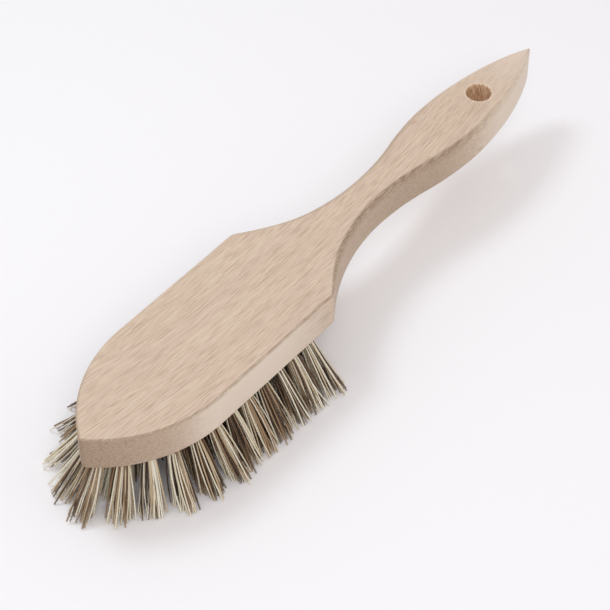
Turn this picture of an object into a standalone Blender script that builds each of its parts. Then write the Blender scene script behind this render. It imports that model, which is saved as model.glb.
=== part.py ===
"""Hand brush: a one-piece beech board with a block, a slim neck and a pointed grip, and tufts of
mixed plant fibre set in drilled blind holes. It stands on its tips, handle towards +X."""

from math import acos, asin, cos, pi, radians, sin, tan

import bmesh
import bpy
from mathutils import Vector

MM = 0.001

# Board, seen from above: x runs from the nose to the tail, and widths are half widths.
LENGTH = 280 * MM
THICKNESS = 16 * MM
BLOCK_HALF = 26 * MM
NOSE_END_X = 49 * MM  # where the nose's arcs meet the straight sides
CORNER_X = 114.4 * MM  # the block's two rear corners
NECK_X = 168.4 * MM
NECK_HALF = 7.6 * MM
GRIP_X = 223 * MM
GRIP_HALF = 13.8 * MM
POINT_OFFSET = 1.2 * MM  # how much of the outline's points and corners is rounded away
ARC_STEP = 5 * MM

# Rounding of the board's long edges: crisp on the block, full in the hand, fine at the tail.
BLOCK_EDGE = 1.2 * MM
HAND_EDGE = 2.8 * MM
TAIL_EDGE = 0.5 * MM
HAND_EDGE_START_X = 140 * MM
HAND_EDGE_END_X = 240 * MM
EDGE_STEPS = 3

HANGING_HOLE_X = 242.7 * MM
HANGING_HOLE_RADIUS = 5.2 * MM

# Tufts: round bundles in drilled holes, fanned outwards and all trimmed to one level.
TRIM_HEIGHT = 26 * MM  # from the tips to the board's underside
HOLE_RADIUS = 2.5 * MM
HOLE_DEPTH = 9.5 * MM
DRILL_POINT = 1.1 * MM
TUFT_RADIUS = 2.15 * MM
TUFT_END_GAP = 0.6 * MM  # room for the flat wire anchor under each bundle's fold
TUFT_FLARE = tan(radians(4.0))
TUFT_SIDES = 12

# Tuft layout: a ring inside the block's outline, then three rows along it.
NOSE_TUFT_X = 9 * MM
OUTER_ROW_Y = 19.7 * MM
INNER_ROW_Y = 10 * MM
REAR_ROW_X = 102.5 * MM
ROW_PITCH = 9.2 * MM
RING_STEPS = 11  # from the nose tuft to a rear corner tuft
INNER_ROW_TUFTS = 8
CENTRE_ROW_TUFTS = 10
SIDE_LEAN = radians(25)
NOSE_LEAN = radians(24)
NOSE_LEAN_END_X = 46 * MM
REAR_LEAN = radians(4)
REAR_LEAN_START_X = 75 * MM


def material(name, colour, roughness):
    made = bpy.data.materials.new(name)
    made.use_nodes = True
    shader = made.node_tree.nodes["Principled BSDF"]
    shader.inputs["Base Color"].default_value = (*colour, 1)
    shader.inputs["Roughness"].default_value = roughness
    shader.inputs["Metallic"].default_value = 0
    return made


def lofted(solids):
    """A bmesh of closed solids. Each one is a list of rings of points, bridged, with its ends capped."""
    mesh = bmesh.new()
    for rings in solids:
        rows = [[mesh.verts.new(point) for point in ring] for ring in rings]
        for row, following in zip(rows, rows[1:]):
            for i in range(len(row)):
                mesh.faces.new((row[i - 1], row[i], following[i], following[i - 1]))
        mesh.faces.new(rows[0])
        mesh.faces.new(rows[-1])
    bmesh.ops.recalc_face_normals(mesh, faces=mesh.faces)
    return mesh


def add_object(name, mesh, finish=None, parent=None):
    data = bpy.data.meshes.new(name)
    mesh.to_mesh(data)
    mesh.free()
    data.shade_smooth()
    data.set_sharp_from_angle(angle=radians(40))
    made = bpy.data.objects.new(name, data)
    made.parent = parent
    if finish:
        data.materials.append(finish)
    bpy.context.scene.collection.objects.link(made)
    return made


def add_cutter(name, mesh, target, parent):
    cutter = add_object(name, mesh, parent=parent)
    cutter.hide_render = True
    cutter.display_type = "WIRE"
    cut = target.modifiers.new(name, "BOOLEAN")
    cut.operation = "DIFFERENCE"
    cut.solver = "EXACT"
    cut.object = cutter


def arc(centre, radius, start, end):
    """Points on a circle from one angle to another, both ends included, about ARC_STEP apart."""
    steps = max(2, round(abs(end - start) * radius / ARC_STEP))
    angles = [start + (end - start) * i / steps for i in range(steps + 1)]
    return [Vector((centre[0] + radius * cos(a), centre[1] + radius * sin(a))) for a in angles]


def crest_radius(run, rise):
    """Radius of an arc that is level at its crest and falls by rise over run."""
    return (run**2 + rise**2) / (2 * rise)


def nose_arc():
    radius = crest_radius(NOSE_END_X, BLOCK_HALF)
    return arc((NOSE_END_X, BLOCK_HALF - radius), radius, pi - acos(NOSE_END_X / radius), pi / 2)


def shoulder_arc():
    """The hollow from the block's rear corner to the neck."""
    radius = crest_radius(NECK_X - CORNER_X, BLOCK_HALF - NECK_HALF)
    start = -pi / 2 - asin((NECK_X - CORNER_X) / radius)
    return arc((NECK_X, NECK_HALF + radius), radius, start, -pi / 2)


def grip_arcs():
    """The hollow arc out of the neck, then the full arc over the grip to the tail's point."""
    tail_radius = crest_radius(LENGTH - GRIP_X, GRIP_HALF)
    both_radii = crest_radius(GRIP_X - NECK_X, GRIP_HALF - NECK_HALF)
    neck_radius = both_radii - tail_radius
    slope = asin((GRIP_X - NECK_X) / both_radii)
    hollow = arc((NECK_X, NECK_HALF + neck_radius), neck_radius, -pi / 2, slope - pi / 2)
    tail_angle = acos((LENGTH - GRIP_X) / tail_radius)
    full = arc((GRIP_X, GRIP_HALF - tail_radius), tail_radius, pi / 2 + slope, tail_angle)
    return hollow[1:] + full[1:]


def board_outline():
    """The outline's corners in order, with its nose, tail and rear corners slightly rounded."""
    upper = nose_arc() + shoulder_arc() + grip_arcs()
    lower = [Vector((p.x, -p.y)) for p in reversed(upper[1:-1])]
    mesh = bmesh.new()
    face = mesh.faces.new([mesh.verts.new((*p, 0)) for p in upper + lower])
    tips = [Vector((0, 0)), Vector((LENGTH, 0))]
    corners = [Vector((CORNER_X, side * BLOCK_HALF)) for side in (1, -1)]
    sharp = [v for v in face.verts if any((v.co.xy - p).length < 0.01 * MM for p in tips + corners)]
    bmesh.ops.bevel(mesh, geom=sharp, offset=POINT_OFFSET, segments=4, profile=0.5, affect="VERTICES")
    mesh.faces.ensure_lookup_table()
    points = [v.co.xy.copy() for v in mesh.faces[0].verts]
    mesh.free()
    return points


def eased(x, start, end):
    t = min(max((x - start) / (end - start), 0), 1)
    return t * t * (3 - 2 * t)


def edge_radius(x):
    full = BLOCK_EDGE + (HAND_EDGE - BLOCK_EDGE) * eased(x, CORNER_X, HAND_EDGE_START_X)
    return full + (TAIL_EDGE - full) * eased(x, HAND_EDGE_END_X, LENGTH)


def inset_directions(points):
    """For each corner of an outline, how it moves when both its edges move in by one unit."""
    area = sum(a.cross(b) for a, b in zip(points, points[1:] + points[:1]))
    turn = 1 if area > 0 else -1
    directions = []
    for i, point in enumerate(points):
        before = (point - points[i - 1]).normalized()
        after = (points[(i + 1) % len(points)] - point).normalized()
        normals = [turn * Vector((-d.y, d.x)) for d in (before, after)]
        directions.append((normals[0] + normals[1]) / (1 + normals[0].dot(normals[1])))
    return directions


def board_rings():
    """Level outlines from the underside up: a quarter round, the upright side, a quarter round."""
    points = board_outline()
    inwards = inset_directions(points)
    rings = []
    for top in (False, True):
        for step in range(EDGE_STEPS + 1):
            a = pi / 2 * (step if top else EDGE_STEPS - step) / EDGE_STEPS
            ring = []
            for point, inward in zip(points, inwards):
                radius = edge_radius(point.x)
                xy = point + inward * radius * (1 - cos(a))
                drop = radius * (1 - sin(a))
                ring.append((*xy, TRIM_HEIGHT + (THICKNESS - drop if top else drop)))
            rings.append(ring)
    return rings


def along(points, distance):
    """The place at a distance along a line of points."""
    for a, b in zip(points, points[1:]):
        step = (b - a).length
        if distance <= step:
            return a.lerp(b, distance / step)
        distance -= step
    return points[-1].copy()


def outer_ring():
    """Places of the outer tufts on one side, from the one behind the nose tuft to the rear corner."""
    radius = crest_radius(NOSE_END_X - NOSE_TUFT_X, OUTER_ROW_Y)
    start = pi - acos((NOSE_END_X - NOSE_TUFT_X) / radius)
    line = arc((NOSE_END_X, OUTER_ROW_Y - radius), radius, start, pi / 2)
    line.append(Vector((REAR_ROW_X, OUTER_ROW_Y)))
    length = sum((b - a).length for a, b in zip(line, line[1:]))
    return [along(line, length * i / RING_STEPS) for i in range(1, RING_STEPS + 1)]


def tuft_places():
    """Name and place of every tuft, in the plane of the board's underside."""
    places = [("tuft_nose", Vector((NOSE_TUFT_X, 0)))]
    for side, sign in (("left", 1), ("right", -1)):
        for i, place in enumerate(outer_ring(), 1):
            places.append((f"tuft_outer_{side}_{i:02d}", Vector((place.x, sign * place.y))))
        for i in range(INNER_ROW_TUFTS):
            x = REAR_ROW_X - ROW_PITCH * (INNER_ROW_TUFTS - 1 - i)
            places.append((f"tuft_inner_{side}_{i + 1:02d}", Vector((x, sign * INNER_ROW_Y))))
    for i in range(CENTRE_ROW_TUFTS):
        x = REAR_ROW_X - ROW_PITCH * (CENTRE_ROW_TUFTS - 1 - i)
        places.append((f"tuft_centre_{i + 1:02d}", Vector((x, 0))))
    return places


def tuft_axis(place):
    """Downward direction of a bundle: it leans out in proportion to its distance from the middle."""
    forward = NOSE_LEAN * max(NOSE_LEAN_END_X - place.x, 0) / (NOSE_LEAN_END_X - NOSE_TUFT_X)
    rearward = REAR_LEAN * max(place.x - REAR_LEAN_START_X, 0) / (REAR_ROW_X - REAR_LEAN_START_X)
    sideways = SIDE_LEAN * place.y / OUTER_ROW_Y
    return Vector((tan(rearward - forward), tan(sideways), -1)).normalized()


def spokes(axis):
    """Unit directions square to an axis, spread evenly around it."""
    turn = Vector((0, 0, -1)).rotation_difference(axis)
    angles = [2 * pi * (i + 0.5) / TUFT_SIDES for i in range(TUFT_SIDES)]
    return [turn @ Vector((cos(a), sin(a), 0)) for a in angles]


def tuft_rings(place):
    """A round bundle in its hole, whose side lines spread below the mouth down to the trim plane."""
    axis = tuft_axis(place)
    mouth = Vector((*place, TRIM_HEIGHT))
    inner = mouth - axis * (HOLE_DEPTH - TUFT_END_GAP)
    rings = [[start + spoke * TUFT_RADIUS for spoke in spokes(axis)] for start in (inner, mouth)]
    tips = []
    for spoke, start in zip(spokes(axis), rings[1]):
        side_line = axis + spoke * TUFT_FLARE
        tips.append(start - side_line * start.z / side_line.z)
    return rings + [tips]


def drill_rings(place):
    axis = tuft_axis(place)
    mouth = Vector((*place, TRIM_HEIGHT))
    stations = (
        (-2 * HOLE_RADIUS, HOLE_RADIUS),
        (HOLE_DEPTH, HOLE_RADIUS),
        (HOLE_DEPTH + DRILL_POINT, 0.15 * HOLE_RADIUS),
    )
    return [[mouth - axis * depth + s * radius for s in spokes(axis)] for depth, radius in stations]


def hanging_drill_rings():
    centre = Vector((HANGING_HOLE_X, 0, 0))
    angles = [2 * pi * i / 32 for i in range(32)]
    circle = [centre + HANGING_HOLE_RADIUS * Vector((cos(a), sin(a), 0)) for a in angles]
    heights = (TRIM_HEIGHT - THICKNESS, TRIM_HEIGHT + 2 * THICKNESS)
    return [[p + Vector((0, 0, height)) for p in circle] for height in heights]


def centre_over_floor(root):
    """Moves the brush so that the middle of its plan box is over the origin, tips on z = 0."""
    bpy.context.view_layer.update()
    solid = [o for o in root.children if not o.hide_render]
    xs = [(o.matrix_world @ v.co).x for o in solid for v in o.data.vertices]
    root.location.x = -(min(xs) + max(xs)) / 2


def main():
    for old in list(bpy.data.objects):
        bpy.data.objects.remove(old)
    beech = material("beech", (0.64, 0.49, 0.36), 0.62)
    fibre = material("plant_fibre", (0.50, 0.43, 0.33), 0.7)

    root = bpy.data.objects.new("brush_origin", None)
    bpy.context.scene.collection.objects.link(root)
    places = tuft_places()
    board = add_object("brush_body", lofted([board_rings()]), beech, root)
    add_cutter("tuft_drills", lofted([drill_rings(p) for _, p in places]), board, root)
    add_cutter("hanging_drill", lofted([hanging_drill_rings()]), board, root)
    for name, place in places:
        add_object(name, lofted([tuft_rings(place)]), fibre, root)
    centre_over_floor(root)


main()
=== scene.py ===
from math import acos, asin, cos, pi, radians, sin

import bmesh
import bpy
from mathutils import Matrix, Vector, noise


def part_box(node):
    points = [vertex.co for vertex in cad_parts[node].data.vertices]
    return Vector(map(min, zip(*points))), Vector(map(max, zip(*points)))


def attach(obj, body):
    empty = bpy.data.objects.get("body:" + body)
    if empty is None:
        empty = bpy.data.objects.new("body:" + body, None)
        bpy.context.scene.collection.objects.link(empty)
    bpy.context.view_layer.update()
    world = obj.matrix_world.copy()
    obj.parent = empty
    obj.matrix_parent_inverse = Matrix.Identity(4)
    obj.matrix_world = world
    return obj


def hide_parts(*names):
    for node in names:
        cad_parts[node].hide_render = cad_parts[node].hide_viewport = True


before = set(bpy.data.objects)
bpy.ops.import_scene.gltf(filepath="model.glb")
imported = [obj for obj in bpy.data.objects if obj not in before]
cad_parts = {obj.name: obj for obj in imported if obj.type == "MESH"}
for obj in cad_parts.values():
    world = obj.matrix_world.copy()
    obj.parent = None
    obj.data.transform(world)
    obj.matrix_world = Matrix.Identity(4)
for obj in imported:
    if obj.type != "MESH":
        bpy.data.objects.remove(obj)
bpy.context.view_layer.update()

# ---------------------------------------------------------------------------------------------
# The stage: a white table under a small soft window above and behind the brush and a wide, weak
# fill in front of it, and a long lens that looks down across the block towards the handle.
MM = 0.001
scene = bpy.context.scene
board_low, board_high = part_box("brush_body")
underside, top_face = board_low.z, board_high.z

VIEW_AZIMUTH = radians(-50.55)
VIEW_ELEVATION = radians(47.45)
VIEW_DISTANCE = 835 * MM
view_target = Vector((board_low.x + 107 * MM, -17.1 * MM, underside + 10 * MM))
view_back = Vector((
    sin(VIEW_AZIMUTH) * cos(VIEW_ELEVATION),
    -cos(VIEW_AZIMUTH) * cos(VIEW_ELEVATION),
    sin(VIEW_ELEVATION),
))
camera = bpy.data.objects.new("camera", bpy.data.cameras.new("camera"))
scene.collection.objects.link(camera)
camera.location = view_target + view_back * VIEW_DISTANCE
camera.rotation_euler = view_back.to_track_quat("Z", "Y").to_euler()
camera.data.sensor_width = 36
camera.data.lens = 128
camera.data.clip_start = 0.05
camera.data.clip_end = 20
scene.camera = camera
scene.view_settings.view_transform = "Standard"


def soft_light(name, place, width, power, colour):
    lamp = bpy.data.lights.new(name, "AREA")
    lamp.shape = "DISK"
    lamp.size = width
    lamp.energy = power
    lamp.color = colour
    holder = bpy.data.objects.new(name, lamp)
    scene.collection.objects.link(holder)
    holder.location = place
    holder.rotation_euler = Vector(place).to_track_quat("Z", "Y").to_euler()


soft_light("window_light", (-0.06, 0.30, 0.64), 0.22, 1.2, (0.85, 0.94, 1))
soft_light("front_fill", (-1.05, -1.15, 1.9), 1.2, 14.5, (1, 0.985, 0.985))
daylight = bpy.data.worlds.new("daylight")
daylight.use_nodes = True
daylight.node_tree.nodes["Background"].inputs["Color"].default_value = (0.975, 0.945, 0.945, 1)
daylight.node_tree.nodes["Background"].inputs["Strength"].default_value = 0.73
scene.world = daylight


# Node trees are written as sums. A Wire is one output socket, and arithmetic on wires adds the
# Math, Vector Math and other nodes that work it out.
class Wire:
    def __init__(self, tree, socket=None):
        self.tree = tree
        self.socket = socket

    def add(self, kind, inputs=(), out=0, stops=(), **settings):
        """Any node: its settings first, then values or wires for its sockets, by name or place."""
        node = self.tree.nodes.new(kind)
        for name, value in settings.items():
            setattr(node, name, value)
        for i, (place, colour) in enumerate(stops):
            ramp = node.color_ramp.elements
            stop = ramp[i] if i < 2 else ramp.new(1)
            stop.position = place
            stop.color = (*colour, 1)
        for key, value in dict(inputs).items():
            if isinstance(value, Wire):
                self.tree.links.new(value.socket, node.inputs[key])
            else:
                node.inputs[key].default_value = value
        return Wire(self.tree, node.outputs[out])

    def maths(self, operation, *values):
        return self.add("ShaderNodeMath", enumerate(values), operation=operation)

    def sum(self, operation, first, second):
        pair = (first, second)
        wires = [w.socket.type for w in pair if isinstance(w, Wire)]
        if "VECTOR" not in wires and not any(isinstance(v, tuple) for v in pair):
            return self.maths(operation, *pair)
        pair = [(v,) * 3 if isinstance(v, (int, float)) else v for v in pair]
        return self.add("ShaderNodeVectorMath", enumerate(pair), operation=operation)

    def __add__(self, other):
        return self.sum("ADD", self, other)

    def __radd__(self, other):
        return self.sum("ADD", other, self)

    def __sub__(self, other):
        return self.sum("SUBTRACT", self, other)

    def __rsub__(self, other):
        return self.sum("SUBTRACT", other, self)

    def __mul__(self, other):
        return self.sum("MULTIPLY", self, other)

    def __rmul__(self, other):
        return self.sum("MULTIPLY", other, self)

    def __truediv__(self, other):
        return self.sum("DIVIDE", self, other)

    def rise(self, low, high):
        """0 below low and 1 above high, with a smooth step between them."""
        inputs = {0: self, 1: low, 2: high}
        return self.add("ShaderNodeMapRange", inputs, interpolation_type="SMOOTHSTEP")

    def tint(self, low, high):
        """The colour low where this wire is 0, and the colour high where it is 1."""
        low = low if isinstance(low, Wire) else (*low, 1)
        high = high if isinstance(high, Wire) else (*high, 1)
        return self.add("ShaderNodeMix", {0: self, 6: low, 7: high}, out=2, data_type="RGBA")

    def grain(self, stretch, detail=2.0, roughness=0.5):
        """Noise whose features are as long, wide and high as the three lengths in stretch."""
        inputs = {"Vector": self / stretch, "Scale": 1.0, "Detail": detail, "Roughness": roughness}
        return self.add("ShaderNodeTexNoise", inputs)


def finish_of(material, **surface):
    """The shader's own sockets: values stay on it, and wires are linked to it."""
    shader = material.node_tree.nodes["Principled BSDF"]
    for name, value in surface.items():
        socket = shader.inputs[name.replace("_", " ")]
        if isinstance(value, Wire):
            material.node_tree.links.new(value.socket, socket)
        else:
            socket.default_value = value


def new_material(name):
    material = bpy.data.materials.new(name)
    material.use_nodes = True
    return material, Wire(material.node_tree)


def object_of(name, mesh):
    data = bpy.data.meshes.new(name)
    mesh.to_mesh(data)
    mesh.free()
    made = bpy.data.objects.new(name, data)
    scene.collection.objects.link(made)
    return made


FLOOR_SIDE = 8.0
floor_mesh = bmesh.new()
bmesh.ops.create_grid(floor_mesh, x_segments=2, y_segments=2, size=FLOOR_SIDE / 2)
floor = object_of("floor", floor_mesh)
table_paint, paint = new_material("white_table")
# The table's colour is painted lighter towards the front: a painted gradient of light on top of what
# the lamps give.
spot = paint.add("ShaderNodeTexCoord", out=3)
to_the_front = (-0.1, -1.0, 0)
nearer = spot.add("ShaderNodeVectorMath", {0: spot, 1: to_the_front}, out=1, operation="DOT_PRODUCT")
painted_light_table_tone = nearer.rise(-0.3, 0.25).tint((0.855, 0.845, 0.86), (0.92, 0.91, 0.925))
finish_of(table_paint, Base_Color=painted_light_table_tone, Roughness=0.8)
floor.data.materials.append(table_paint)

# ---------------------------------------------------------------------------------------------
# The board: one piece of beech, sawn to a pointed block, a slim neck and a leaf-shaped grip, then
# rounded over along its edges. The block keeps crisp edges and the grip is sanded full in the hand.
NOSE_LENGTH = 49 * MM
BLOCK_HALF = 26 * MM
CORNER_X = 114.4 * MM
NECK_X = 168.4 * MM
NECK_HALF = 7.6 * MM
GRIP_X = 223 * MM
GRIP_HALF = 13.8 * MM
BOARD_LENGTH = 280 * MM
POINT_LOSS = 0.42 * MM  # the nose is rounded back by this much from where its arcs would meet
POINT_OFFSET = 1.2 * MM  # how much of the outline's points and corners is rounded away
OUTLINE_STEP = 1.55 * MM  # longer than POINT_OFFSET, so that no rounding reaches past a neighbour
BLOCK_EDGE = 1.2 * MM
HAND_EDGE = 2.8 * MM
TAIL_EDGE = 0.5 * MM
TAIL_FINE_X = 240 * MM  # from here the rounded edge fines down towards the tail's point
EDGE_STEPS = 6
FLAT_MARGIN = 0.25 * MM  # a narrow flat ring keeps the shading of the wide faces even
nose_x = board_low.x - POINT_LOSS


def arc(centre, radius, start, end):
    """Points on a circle from one angle to another, about OUTLINE_STEP apart."""
    steps = max(2, round(abs(end - start) * radius / OUTLINE_STEP))
    angles = [start + (end - start) * i / steps for i in range(steps + 1)]
    return [Vector((centre[0] + radius * cos(a), centre[1] + radius * sin(a))) for a in angles]


def crest_radius(run, rise):
    """Radius of an arc that is level at its crest and falls by rise over run."""
    return (run**2 + rise**2) / (2 * rise)


def half_outline():
    """The far edge of the board, from the nose's point to the tail's point."""
    nose_radius = crest_radius(NOSE_LENGTH, BLOCK_HALF)
    nose_start = pi - acos(NOSE_LENGTH / nose_radius)
    nose = arc((NOSE_LENGTH, BLOCK_HALF - nose_radius), nose_radius, nose_start, pi / 2)
    side_steps = round((CORNER_X - NOSE_LENGTH) / OUTLINE_STEP)
    side_step = (CORNER_X - NOSE_LENGTH) / side_steps
    side = [Vector((NOSE_LENGTH + side_step * i, BLOCK_HALF)) for i in range(1, side_steps)]
    shoulder_radius = crest_radius(NECK_X - CORNER_X, BLOCK_HALF - NECK_HALF)
    start = -pi / 2 - asin((NECK_X - CORNER_X) / shoulder_radius)
    shoulder = arc((NECK_X, NECK_HALF + shoulder_radius), shoulder_radius, start, -pi / 2)
    tail_radius = crest_radius(BOARD_LENGTH - GRIP_X, GRIP_HALF)
    both_radii = crest_radius(GRIP_X - NECK_X, GRIP_HALF - NECK_HALF)
    slope = asin((GRIP_X - NECK_X) / both_radii)
    neck_radius = both_radii - tail_radius
    neck = arc((NECK_X, NECK_HALF + neck_radius), neck_radius, -pi / 2, slope - pi / 2)
    tail_end = acos((BOARD_LENGTH - GRIP_X) / tail_radius)
    grip = arc((GRIP_X, GRIP_HALF - tail_radius), tail_radius, pi / 2 + slope, tail_end)
    return nose + side + shoulder + neck[1:] + grip[1:]


def board_outline():
    far = half_outline()
    near = [Vector((p.x, -p.y)) for p in reversed(far[1:-1])]
    flat = bmesh.new()
    face = flat.faces.new([flat.verts.new((*p, 0)) for p in far + near])
    points = [(0, 0), (BOARD_LENGTH, 0), (CORNER_X, BLOCK_HALF), (CORNER_X, -BLOCK_HALF)]
    sharp = [v for v in face.verts if any((v.co.xy - Vector(p)).length < 0.01 * MM for p in points)]
    bmesh.ops.bevel(flat, geom=sharp, offset=POINT_OFFSET, segments=5, profile=0.5, affect="VERTICES")
    flat.faces.ensure_lookup_table()
    outline = [v.co.xy.copy() for v in flat.faces[0].verts]
    flat.free()
    return outline


def eased(x, start, end):
    t = min(max((x - start) / (end - start), 0), 1)
    return t * t * (3 - 2 * t)


def hand_share(x):
    """0 on the block and 1 on the neck and grip, where the edges are sanded for the hand."""
    return eased(x, CORNER_X + 1 * MM, CORNER_X + 26 * MM)


def pale_side_share(x):
    """1 where the side is made paler: along the block and at the tail."""
    block = eased(x, 22 * MM, 48 * MM) * (1 - eased(x, 78 * MM, 122 * MM))
    return block + eased(x, 214 * MM, 246 * MM)


def brown_side_share(x, move):
    """1 where the side shows brown: at the nose, where it cuts across the fibres, and darker around
    the neck and the start of the grip.
    """
    nose = 1.35 * abs(move.normalized().x) * (1 - eased(x, 22 * MM, 46 * MM))
    neck = (0.34 + 0.38 * eased(x, 130 * MM, 190 * MM)) * (1 - eased(x, 196 * MM, 232 * MM))
    return nose + neck * eased(x, 112 * MM, 120 * MM)


def edge_radius(point):
    """The rounding is sanded by hand, so it swells and thins a little along the edge."""
    full = BLOCK_EDGE + (HAND_EDGE - BLOCK_EDGE) * hand_share(point.x)
    full *= 1 + 0.12 * noise.noise(Vector((point.x * 45, point.y * 70, 2.0)))
    return full + (TAIL_EDGE - full) * eased(point.x, TAIL_FINE_X, BOARD_LENGTH)


def rubbed_share(point, angle):
    """How grimy the rounded edge is: most on the near side and along the neck, least at the tail."""
    near = 1 if point.y < 0 else 0.12
    grime = sin(angle) ** 1.5 * (1 - 0.85 * eased(angle, radians(70), radians(90)))
    handled = (0.75 + 0.25 * hand_share(point.x)) * (1 - 0.7 * eased(point.x, 205 * MM, 245 * MM))
    return grime * near * handled


def inward_moves(outline):
    """For each corner of the outline: how it moves when both its edges move in by one unit."""
    area = sum(a.cross(b) for a, b in zip(outline, outline[1:] + outline[:1]))
    turn = 1 if area > 0 else -1
    moves = []
    for i, point in enumerate(outline):
        before = (point - outline[i - 1]).normalized()
        after = (outline[(i + 1) % len(outline)] - point).normalized()
        normals = [turn * Vector((-d.y, d.x)) for d in (before, after)]
        moves.append((normals[0] + normals[1]) / (1 + normals[0].dot(normals[1])))
    return moves


def board_mesh():
    """Rings of the outline from the underside up, with how rubbed, brown and pale each place is."""
    outline = board_outline()
    moves = inward_moves(outline)
    mesh = bmesh.new()
    rubbed = mesh.verts.layers.float.new("hand_rub")
    brown_side_layer = mesh.verts.layers.float.new("brown_side")
    pale_side = mesh.verts.layers.float.new("pale_side")
    angles = [pi / 2 * i / EDGE_STEPS for i in range(EDGE_STEPS + 1)]
    stations = [(pi / 2, FLAT_MARGIN, False)] + [(a, 0, False) for a in reversed(angles)]
    stations += [(a, 0, True) for a in angles] + [(pi / 2, FLAT_MARGIN, True)]
    rows = []
    for angle, extra, upper in stations:
        row = []
        for point, move in zip(outline, moves):
            radius = edge_radius(point)
            flat = extra * (1 - 0.8 * eased(point.x, TAIL_FINE_X, 275 * MM))
            xy = point + move * (radius * (1 - cos(angle)) + flat)
            drop = radius * (1 - sin(angle))
            height = top_face - drop if upper else underside + drop
            vert = mesh.verts.new((nose_x + xy.x, xy.y, height))
            vert[rubbed] = 0 if extra else rubbed_share(point, angle)
            vert[brown_side_layer] = 0 if extra else brown_side_share(point.x, move) * cos(angle)
            vert[pale_side] = 0 if extra else pale_side_share(point.x) * cos(angle)
            row.append(vert)
        rows.append(row)
    for row, following in zip(rows, rows[1:]):
        for i in range(len(row)):
            mesh.faces.new((row[i - 1], row[i], following[i], following[i - 1]))
    mesh.faces.new(rows[0])
    mesh.faces.new(rows[-1])
    bmesh.ops.recalc_face_normals(mesh, faces=mesh.faces)
    return mesh


# Every tuft's hole follows its CAD solid: the ring of points at the mouth and the ring at the
# inner end give the hole's middle and its slant.
def ring_middle(node, low, high):
    points = {tuple(round(c, 6) for c in v.co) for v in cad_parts[node].data.vertices}
    ring = [Vector(p) for p in points if low < p[2] < high]
    return sum(ring, Vector()) / len(ring)


HOLE_RADIUS = 2.5 * MM
HOLE_DEPTH = 9.5 * MM
DRILL_POINT = 1.1 * MM
tufts = {}
for node in sorted(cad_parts):
    if node.startswith("tuft_"):
        inner = ring_middle(node, underside + 5 * MM, top_face)
        mouth = ring_middle(node, underside - 5 * MM, underside + 5 * MM)
        tufts[node] = (mouth, (mouth - inner).normalized())


def square_to(axis):
    """Two unit directions square to an axis and to each other, the first one across the brush."""
    along = axis.cross(Vector((0, 1, 0))).normalized()
    return along.cross(axis).normalized(), along


def turned(stations, place, axis, sides, rough=0.0):
    """Rings of a turned cutter along an axis. Each station is a distance along it and a radius."""
    across, along = square_to(axis)
    rings = []
    for distance, radius in stations:
        ring = []
        for i in range(sides):
            a = 2 * pi * i / sides
            spoke = across * cos(a) + along * sin(a)
            chip = rough * noise.noise(Vector((cos(a) * 2.7, sin(a) * 2.7, distance * 900)))
            ring.append(place + axis * distance + spoke * (radius + chip))
        rings.append(ring)
    return rings


def capped_rings(mesh, rings):
    rows = [[mesh.verts.new(p) for p in ring] for ring in rings]
    for row, following in zip(rows, rows[1:]):
        for i in range(len(row)):
            mesh.faces.new((row[i - 1], row[i], following[i], following[i - 1]))
    mesh.faces.new(rows[0])
    mesh.faces.new(rows[-1])


def cut(target, name, mesh, walls):
    """Cuts a mesh out of the target. The new walls take the material walls."""
    bmesh.ops.recalc_face_normals(mesh, faces=mesh.faces)
    cutter = object_of(name, mesh)
    cutter.data.materials.append(walls)
    knife = target.modifiers.new(name, "BOOLEAN")
    knife.operation = "DIFFERENCE"
    knife.solver = "EXACT"
    knife.material_mode = "TRANSFER"
    knife.object = cutter
    return cutter


HANGING_HOLE_X = 242.7 * MM
HANGING_HOLE_RADIUS = 5.2 * MM
HOLE_RIM = 0.35 * MM  # the bevel round each mouth of the hanging hole

# Raw beech: broad growth bands, fine pale lines and short dark flecks, all bowed a
# little, with the crest of the bow over the block. Lengths in these patterns are in millimetres.
CREST_X = -41.0
beech, wood = new_material("beech")
place_mm = wood.add("ShaderNodeTexCoord", out=3) * 1000.0
past_crest = place_mm.add("ShaderNodeSeparateXYZ", {0: place_mm}) - CREST_X
wander = place_mm.grain((60.0, 14.0, 14.0), detail=1.0) - 0.5
sway = wander * 3.0 - past_crest * past_crest * 0.00045
grain_at = place_mm + sway.add("ShaderNodeCombineXYZ", {"Y": sway, "Z": wander * 3.0})
bands = grain_at.grain((110.0, 4.5, 7.0), detail=3.0)
lines = grain_at.grain((45.0, 0.45, 0.7), detail=1.0)
flecks = grain_at.grain((8.0, 0.2, 0.4), detail=0.5).rise(0.54, 0.64)
pores = grain_at.grain((1.4, 0.14, 0.14), detail=1.0)
brown_side = wood.add("ShaderNodeAttribute", out=2, attribute_name="brown_side")
hand_rub = wood.add("ShaderNodeAttribute", out=2, attribute_name="hand_rub")
pale_side = wood.add("ShaderNodeAttribute", out=2, attribute_name="pale_side")
speckle = place_mm.grain((0.8, 0.8, 0.35), detail=2.0).rise(0.45, 0.7)
burr = place_mm.grain((4.0, 0.5, 0.5), detail=3.0).rise(0.35, 0.6)
tone = bands.rise(0.3, 0.7).tint((0.59, 0.45, 0.345), (0.61, 0.475, 0.35))
tone = (lines.rise(0.4, 0.65) * 0.45).tint(tone, (0.71, 0.575, 0.46))
tone = (flecks * 0.62 * (1 - brown_side)).tint(tone, (0.38, 0.25, 0.17))
tone = (past_crest.rise(140.0, 185.0) * 0.55).tint(tone, (0.74, 0.62, 0.52))
tone = (pale_side * 0.9).tint(tone, (0.745, 0.635, 0.52))
tone = (brown_side * (0.62 + 0.5 * speckle)).tint(tone, (0.28, 0.185, 0.115))
tone = (hand_rub * (0.4 + 0.7 * burr)).tint(tone, (0.24, 0.16, 0.10))
hole_at = (place_mm - ((nose_x + HANGING_HOLE_X) / MM, 0.0, 0.0)) * (1.0, 1.0, 0.0)
hole_reach = hole_at.add("ShaderNodeVectorMath", {0: hole_at}, out=1, operation="LENGTH")
frayed = place_mm.grain((0.9, 0.5, 0.9), detail=3.0)
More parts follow.
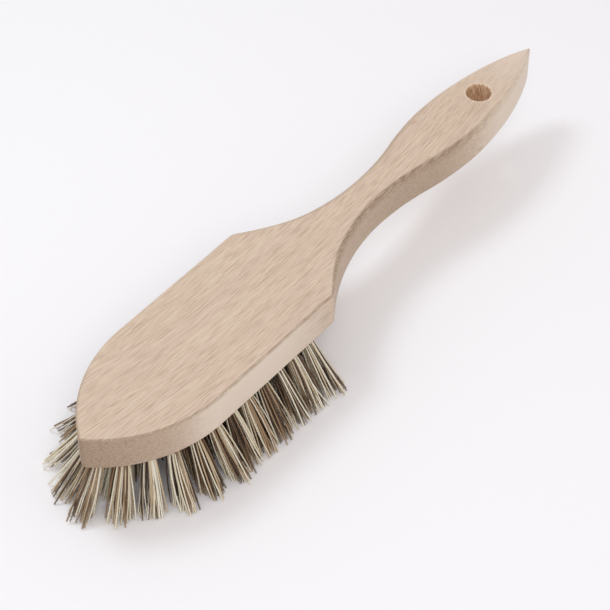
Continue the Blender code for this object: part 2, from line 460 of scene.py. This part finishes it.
rim = (1.0 - (hole_reach + frayed * 1.6).rise(6.2, 7.6)) * frayed.rise(0.3, 0.6)
tone = (rim * 0.7).tint(tone, (0.80, 0.67, 0.53))
height = pores * 0.5 + flecks * -0.4 + lines * 0.2 + rim * frayed * 2.5
relief = wood.add("ShaderNodeBump", {"Strength": 0.35, "Distance": 0.0001, "Height": height})
finish_of(beech, Base_Color=tone, Roughness=0.52 + pores * 0.16 - hand_rub * 0.06, Normal=relief)

drilled_beech, bore = new_material("drilled_beech")
bore_at = bore.add("ShaderNodeTexCoord", out=3) * 1000.0
torn = bore_at.grain((0.6, 0.6, 3.0), detail=3.0)
bore_relief = bore.add("ShaderNodeBump", {"Strength": 0.7, "Distance": 0.0003, "Height": torn})
finish_of(
    drilled_beech,
    Base_Color=torn.rise(0.35, 0.65).tint((0.46, 0.28, 0.16), (0.74, 0.54, 0.36)),
    Roughness=0.75,
    Normal=bore_relief,
)

board = object_of("board", board_mesh())
board.data.materials.append(beech)
board.data.materials.append(drilled_beech)
drills = bmesh.new()
drill_stations = (
    (2 * HOLE_RADIUS, HOLE_RADIUS),
    (-HOLE_DEPTH, HOLE_RADIUS),
    (-HOLE_DEPTH - DRILL_POINT, 0.3 * MM),
)
for mouth, axis in tufts.values():
    capped_rings(drills, turned(drill_stations, mouth, axis, sides=20))
hanging_place = Vector((nose_x + HANGING_HOLE_X, 0, underside))
thick = top_face - underside
hanging_stations = (
    (-1 * MM, HANGING_HOLE_RADIUS + HOLE_RIM + 1 * MM),
    (HOLE_RIM, HANGING_HOLE_RADIUS),
    (thick * 0.35, HANGING_HOLE_RADIUS),
    (thick * 0.7, HANGING_HOLE_RADIUS),
    (thick - HOLE_RIM, HANGING_HOLE_RADIUS),
    (thick + 1 * MM, HANGING_HOLE_RADIUS + HOLE_RIM + 1 * MM),
)
hanging_drill = bmesh.new()
upright = Vector((0, 0, 1))
capped_rings(hanging_drill, turned(hanging_stations, hanging_place, upright, 72, rough=0.12 * MM))
cutters = [
    cut(board, "tuft_drills", drills, drilled_beech),
    cut(board, "hanging_drill", hanging_drill, drilled_beech),
]


def made_plain(rough, name):
    """The evaluated object as a plain mesh object, and the rough one removed."""
    graph = bpy.context.evaluated_depsgraph_get()
    data = bpy.data.meshes.new_from_object(rough.evaluated_get(graph))
    bpy.data.objects.remove(rough)
    data.name = name
    plain = bpy.data.objects.new(name, data)
    scene.collection.objects.link(plain)
    return plain


board = made_plain(board, "beech_board")
for cutter in cutters:
    bpy.data.objects.remove(cutter)
board.data.shade_smooth()
board.data.set_sharp_from_angle(angle=radians(35))
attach(board, "root")
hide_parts("brush_body")

# ---------------------------------------------------------------------------------------------
# The wire anchors: a short flat strip of steel across the bottom of each hole. It is driven in over
# the fold of the tuft, and its ends bite into the wood on both sides.
ANCHOR = Vector((5.6, 0.4, 1.6)) * MM
ANCHOR_GAP = 0.4 * MM  # half a fibre's width, between the strip and the middle of the fold
FOLD_DEPTH = HOLE_DEPTH - 0.9 * MM
anchor_places = bmesh.new()
slants = anchor_places.verts.layers.float_vector.new("slant")
for mouth, axis in tufts.values():
    vert = anchor_places.verts.new(mouth - axis * (FOLD_DEPTH - ANCHOR.z / 2 - ANCHOR_GAP))
    vert[slants] = axis
anchor_rough = object_of("anchor_places", anchor_places)

anchor_steel, steel = new_material("anchor_steel")
drawn = (steel.add("ShaderNodeTexCoord", out=3) * 1000.0).grain((3.0, 0.2, 0.2))
finish_of(
    anchor_steel,
    Base_Color=drawn.tint((0.42, 0.42, 0.43), (0.55, 0.55, 0.56)),
    Metallic=1.0,
    Roughness=0.3 + drawn * 0.2,
)


def modifier_tree(name, inputs):
    """A Geometry Nodes tree with named inputs. Returns it, and a wire for each input."""
    tree = bpy.data.node_groups.new(name, "GeometryNodeTree")
    tree.interface.new_socket("Geometry", in_out="OUTPUT", socket_type="NodeSocketGeometry")
    for label, kind in inputs.items():
        tree.interface.new_socket(label, in_out="INPUT", socket_type="NodeSocket" + kind)
    entry = tree.nodes.new("NodeGroupInput")
    return tree, {label: Wire(tree, entry.outputs[label]) for label in inputs}


def end_tree(shape, material):
    """Ends a tree in real geometry with its material."""
    real = shape.add("GeometryNodeRealizeInstances", {0: shape})
    done = real.add("GeometryNodeSetMaterial", {"Geometry": real, "Material": material})
    exit_node = shape.tree.nodes.new("NodeGroupOutput")
    shape.tree.links.new(done.socket, exit_node.inputs[0])


def grow(host, tree, values):
    """Puts the tree on the host with its inputs set, and returns the result as a plain object."""
    nodes = host.modifiers.new(tree.name, "NODES")
    nodes.node_group = tree
    for item in tree.interface.items_tree:
        if item.item_type == "SOCKET" and item.in_out == "INPUT" and item.name in values:
            nodes[item.identifier] = values[item.name]
    return made_plain(host, host.name + "_made")


anchor_tree, given = modifier_tree("anchors_on_points", {"Places": "Geometry", "Size": "Vector"})
strip = given["Size"].add("GeometryNodeMeshCube", {"Size": given["Size"]})
slant = strip.add("GeometryNodeInputNamedAttribute", {"Name": "slant"}, data_type="FLOAT_VECTOR")
turn = slant.add(
    "FunctionNodeAxesToRotation",
    {0: slant, 1: (0.0, 1.0, 0.0)},
    primary_axis="Z",
    secondary_axis="Y",
)
strips = strip.add(
    "GeometryNodeInstanceOnPoints",
    {"Points": given["Places"], "Instance": strip, "Rotation": turn},
)
end_tree(strips, anchor_steel)
anchors = grow(anchor_rough, anchor_tree, {"Size": ANCHOR})
anchors.name = "wire_anchors"
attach(anchors, "root")

# ---------------------------------------------------------------------------------------------
# The tufts: each is a bundle of stiff plant fibres, cream to dark brown and mixed by hand, folded
# in half over its anchor. Outside the hole the fibres spread, wander a little and end in one cut.
fibre_finish, fibre = new_material("plant_fibre")
shade = fibre.add("ShaderNodeAttribute", out=2, attribute_name="shade")
reach = fibre.add("ShaderNodeAttribute", out=2, attribute_name="reach")
FIBRE_COLOURS = (
    (0.00, (0.85, 0.805, 0.68)),
    (0.40, (0.75, 0.675, 0.51)),
    (0.54, (0.54, 0.41, 0.255)),
    (0.64, (0.31, 0.195, 0.11)),
    (0.76, (0.15, 0.087, 0.05)),
    (0.88, (0.058, 0.034, 0.021)),
    (1.00, (0.028, 0.017, 0.011)),
)
hue = shade.add("ShaderNodeValToRGB", {0: shade}, stops=FIBRE_COLOURS)
streak = (fibre.add("ShaderNodeTexCoord", out=3) * 1000.0).grain((0.35, 0.35, 5.0), detail=2.0)
fibre_tone = (streak.rise(0.45, 0.8) * 0.35).tint(hue, (0.33, 0.25, 0.16))
fibre_tone = (reach.rise(0.75, 1.0) * 0.2).tint(fibre_tone, (0.80, 0.73, 0.58))
ridges = fibre.add("ShaderNodeBump", {"Strength": 0.3, "Distance": 0.00005, "Height": streak})
finish_of(
    fibre_finish,
    Base_Color=fibre_tone,
    Roughness=0.5 + streak * 0.25,
    Specular_IOR_Level=0.3,
    Normal=ridges,
)

FOLDED_FIBRES = 31
BUNDLE_RADIUS = 2.0 * MM
FIBRE_RADII = (0.23 * MM, 0.42 * MM)
TIP_TAPER = 0.15
CLEAR_OF_ANCHOR = 0.5 * MM  # the least distance of a fibre's middle from the middle of the anchor
FAN = radians(164)
GOLDEN_TURN = 0.618034  # sets the fibres evenly over the hole
CLUMP_SIZE = 1.3 * MM
WANDER = 1.45 * MM
CUT_HEIGHTS = (0.3 * MM, 0.9 * MM)
CUT_SHORT = 2.5 * MM  # the most by which a few fibres fall short of the rest
POINTS = 15
HOLE_SHARE = 3 / 7  # the part of each fibre's points that is inside the hole
tuft_tree, given = modifier_tree("folded_fibres", {
    "Folded Fibres": "Int",
    "Mouth": "Vector",
    "Axis": "Vector",
    "Across": "Vector",
    "Along": "Vector",
    "Fold Depth": "Float",
    "Bundle Radius": "Float",
    "Spread": "Float",
    "Wander": "Float",
    "Splay": "Vector",
    "Paleness": "Float",
    "Seed": "Int",
})
start = Wire(tuft_tree)


def named(shape, name, value):
    """The shape with a value stored on its points under a name."""
    inputs = {0: shape, "Name": name, 3: value}
    return start.add("GeometryNodeStoreNamedAttribute", inputs, data_type="FLOAT")


count = given["Folded Fibres"]
pins = start.add("GeometryNodeMeshLine", {"Count": count})
index = start.add("GeometryNodeInputIndex")
pins = named(pins, "pin", index)
line = start.add("GeometryNodeCurvePrimitiveLine")
line = start.add("GeometryNodeResampleCurve", {"Curve": line, "Count": POINTS})
fibres = start.add("GeometryNodeInstanceOnPoints", {"Points": pins, "Instance": line})
fibres = start.add("GeometryNodeRealizeInstances", {0: fibres})

pin = start.add("GeometryNodeInputNamedAttribute", {"Name": "pin"}, data_type="FLOAT")
factor = start.add("GeometryNodeSplineParameter")
signed = factor * 2.0 - 1.0
leg = signed.maths("SIGN", signed)
share = signed.maths("ABSOLUTE", signed)
in_hole = share.maths("MINIMUM", share / HOLE_SHARE, 1.0)
outside = share.maths("MAXIMUM", (share - HOLE_SHARE) / (1 - HOLE_SHARE), 0.0)


def chance(low, high, number, per_leg=True):
    """A random value for each fibre, or one for each of its two legs."""
    who = pin * 2.0 + (leg.maths("GREATER_THAN", leg, 0.0) if per_leg else 0.0)
    inputs = {2: low, 3: high, "ID": who, "Seed": given["Seed"] + number}
    return start.add("FunctionNodeRandomValue", inputs, out=1, data_type="FLOAT")


turn_share = pin.maths("FRACT", pin * GOLDEN_TURN)
fan = (turn_share - 0.5) * FAN
root_radius = given["Bundle Radius"] * pin.maths("SQRT", (pin + 0.5) / count)
root_across = leg * fan.maths("MAXIMUM", root_radius * fan.maths("COSINE", fan), CLEAR_OF_ANCHOR)
root_along = root_radius * fan.maths("SINE", fan)
fold = in_hole.maths("SINE", in_hole.maths("MINIMUM", in_hole * 2.4, pi / 2))
strayed = 1.0 + chance(0.0, 1.0, 5).rise(0.92, 0.97) * 2.4


def clump(number):
    """Neighbouring fibres lean together: a smooth field over the hole, from -1 to 1."""
    spot = {"X": root_across / CLUMP_SIZE, "Y": root_along / CLUMP_SIZE, "Z": given["Seed"] + number}
    field = start.add("ShaderNodeCombineXYZ", spot).grain((1.0, 1.0, 1.0), detail=0.0)
    return (field - 0.5) * 3.0


drift_across = (chance(-1.0, 1.0, 1) * strayed * 0.6 + clump(0.37)) * given["Wander"]
drift_along = (chance(-1.0, 1.0, 2) * strayed * 0.6 + clump(0.71)) * given["Wander"]
curl = (outside - outside * outside) * given["Wander"] * 2.6
spread_here = 1.0 + given["Spread"] * outside
across_by = root_across * fold * spread_here + drift_across * outside + chance(-1.0, 1.0, 3) * curl
along_by = root_along * spread_here + drift_along * outside + chance(-1.0, 1.0, 4) * curl
tip_across = root_across * (1.0 + given["Spread"]) + drift_across
tip_along = root_along * (1.0 + given["Spread"]) + drift_along


def part(vector, name):
    """One coordinate of a vector."""
    return vector.add("ShaderNodeSeparateXYZ", {0: vector}, out="XYZ".index(name))


def times(vector, amount):
    """A vector made longer or shorter by a number."""
    return vector.add("ShaderNodeVectorMath", {0: vector, 3: amount}, operation="SCALE")


cut_height = chance(*CUT_HEIGHTS, 6) + chance(0.0, 1.0, 7).rise(0.9, 1.0) * CUT_SHORT
tip_side = part(given["Across"], "Z") * tip_across + part(given["Along"], "Z") * tip_along
length = (part(given["Mouth"], "Z") + tip_side - cut_height) / (part(given["Axis"], "Z") * -1.0)
depth = given["Fold Depth"] * (1.0 - in_hole.maths("POWER", in_hole, 1.7))
position = given["Mouth"] + times(given["Axis"], outside * length - depth)
position = position + times(given["Across"], across_by) + times(given["Along"], along_by)
position = position + times(given["Splay"], outside * outside * chance(0.3, 1.3, 10))
fibres = start.add("GeometryNodeSetPosition", {"Geometry": fibres, "Position": position})
shade_value = chance(0.0, 1.0, 8, per_leg=False)
fibres = named(fibres, "shade", shade_value.maths("POWER", shade_value, given["Paleness"]))
fibres = named(fibres, "reach", outside)
girth = chance(*FIBRE_RADII, 9, per_leg=False) * (1.0 - outside * TIP_TAPER)
ring = start.add("GeometryNodeCurvePrimitiveCircle", {"Resolution": 5, "Radius": 1.0})
tubes = start.add(
    "GeometryNodeCurveToMesh",
    {"Curve": fibres, "Profile Curve": ring, "Scale": girth, "Fill Caps": True},
)
end_tree(tubes, fibre_finish)


def splay_of(mouth, axis):
    """How far use has pushed the tips over: outwards, most on the far flank of the nose, a little
    to the rear in the last row, and this way and that everywhere."""
    outward = Vector((axis.x, axis.y, 0)).normalized()
    at_nose = 1 - eased(mouth.x, nose_x + 20 * MM, nose_x + 45 * MM)
    at_rear = eased(mouth.x, nose_x + 95 * MM, nose_x + 102 * MM)
    far_side = 2.6 * eased(mouth.y, 1 * MM, 16 * MM) + 3.4 * at_nose * eased(mouth.y, 0, 6 * MM)
    spot = mouth * 310
    push = Vector((noise.noise(spot), noise.noise(spot + Vector((7.3, 2.1, 5.7))), 0)) * 1.8
    return (outward * (0.3 + far_side) + push + Vector((1.8 * at_rear, 0, 0))) * MM


def paleness_of(mouth):
    """Above 1 the mixture is mostly cream, and below 1 mostly brown."""
    behind_nose = mouth.x - nose_x
    browner = eased(behind_nose, 4 * MM, 46 * MM)
    paler = eased(behind_nose, 55 * MM, 96 * MM)
    return 1.6 - 1.1 * browner + 0.55 * paler


for number, (node, (mouth, axis)) in enumerate(tufts.items()):
    across, along = square_to(axis)
    host = object_of(node + "_fibres", bmesh.new())
    tuft = grow(host, tuft_tree, {
        "Folded Fibres": FOLDED_FIBRES,
        "Mouth": mouth,
        "Axis": axis,
        "Across": across,
        "Along": along,
        "Fold Depth": FOLD_DEPTH,
        "Bundle Radius": BUNDLE_RADIUS,
        "Spread": 1.5 + 1.4 * eased(mouth.y, 1 * MM, 12 * MM),
        "Wander": WANDER,
        "Splay": splay_of(mouth, axis),
        "Paleness": paleness_of(mouth),
        "Seed": 100 * number + 7,
    })
    tuft.name = node.replace("tuft_", "fibres_")
    tuft.data.shade_smooth()
    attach(tuft, "root")
    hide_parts(node)
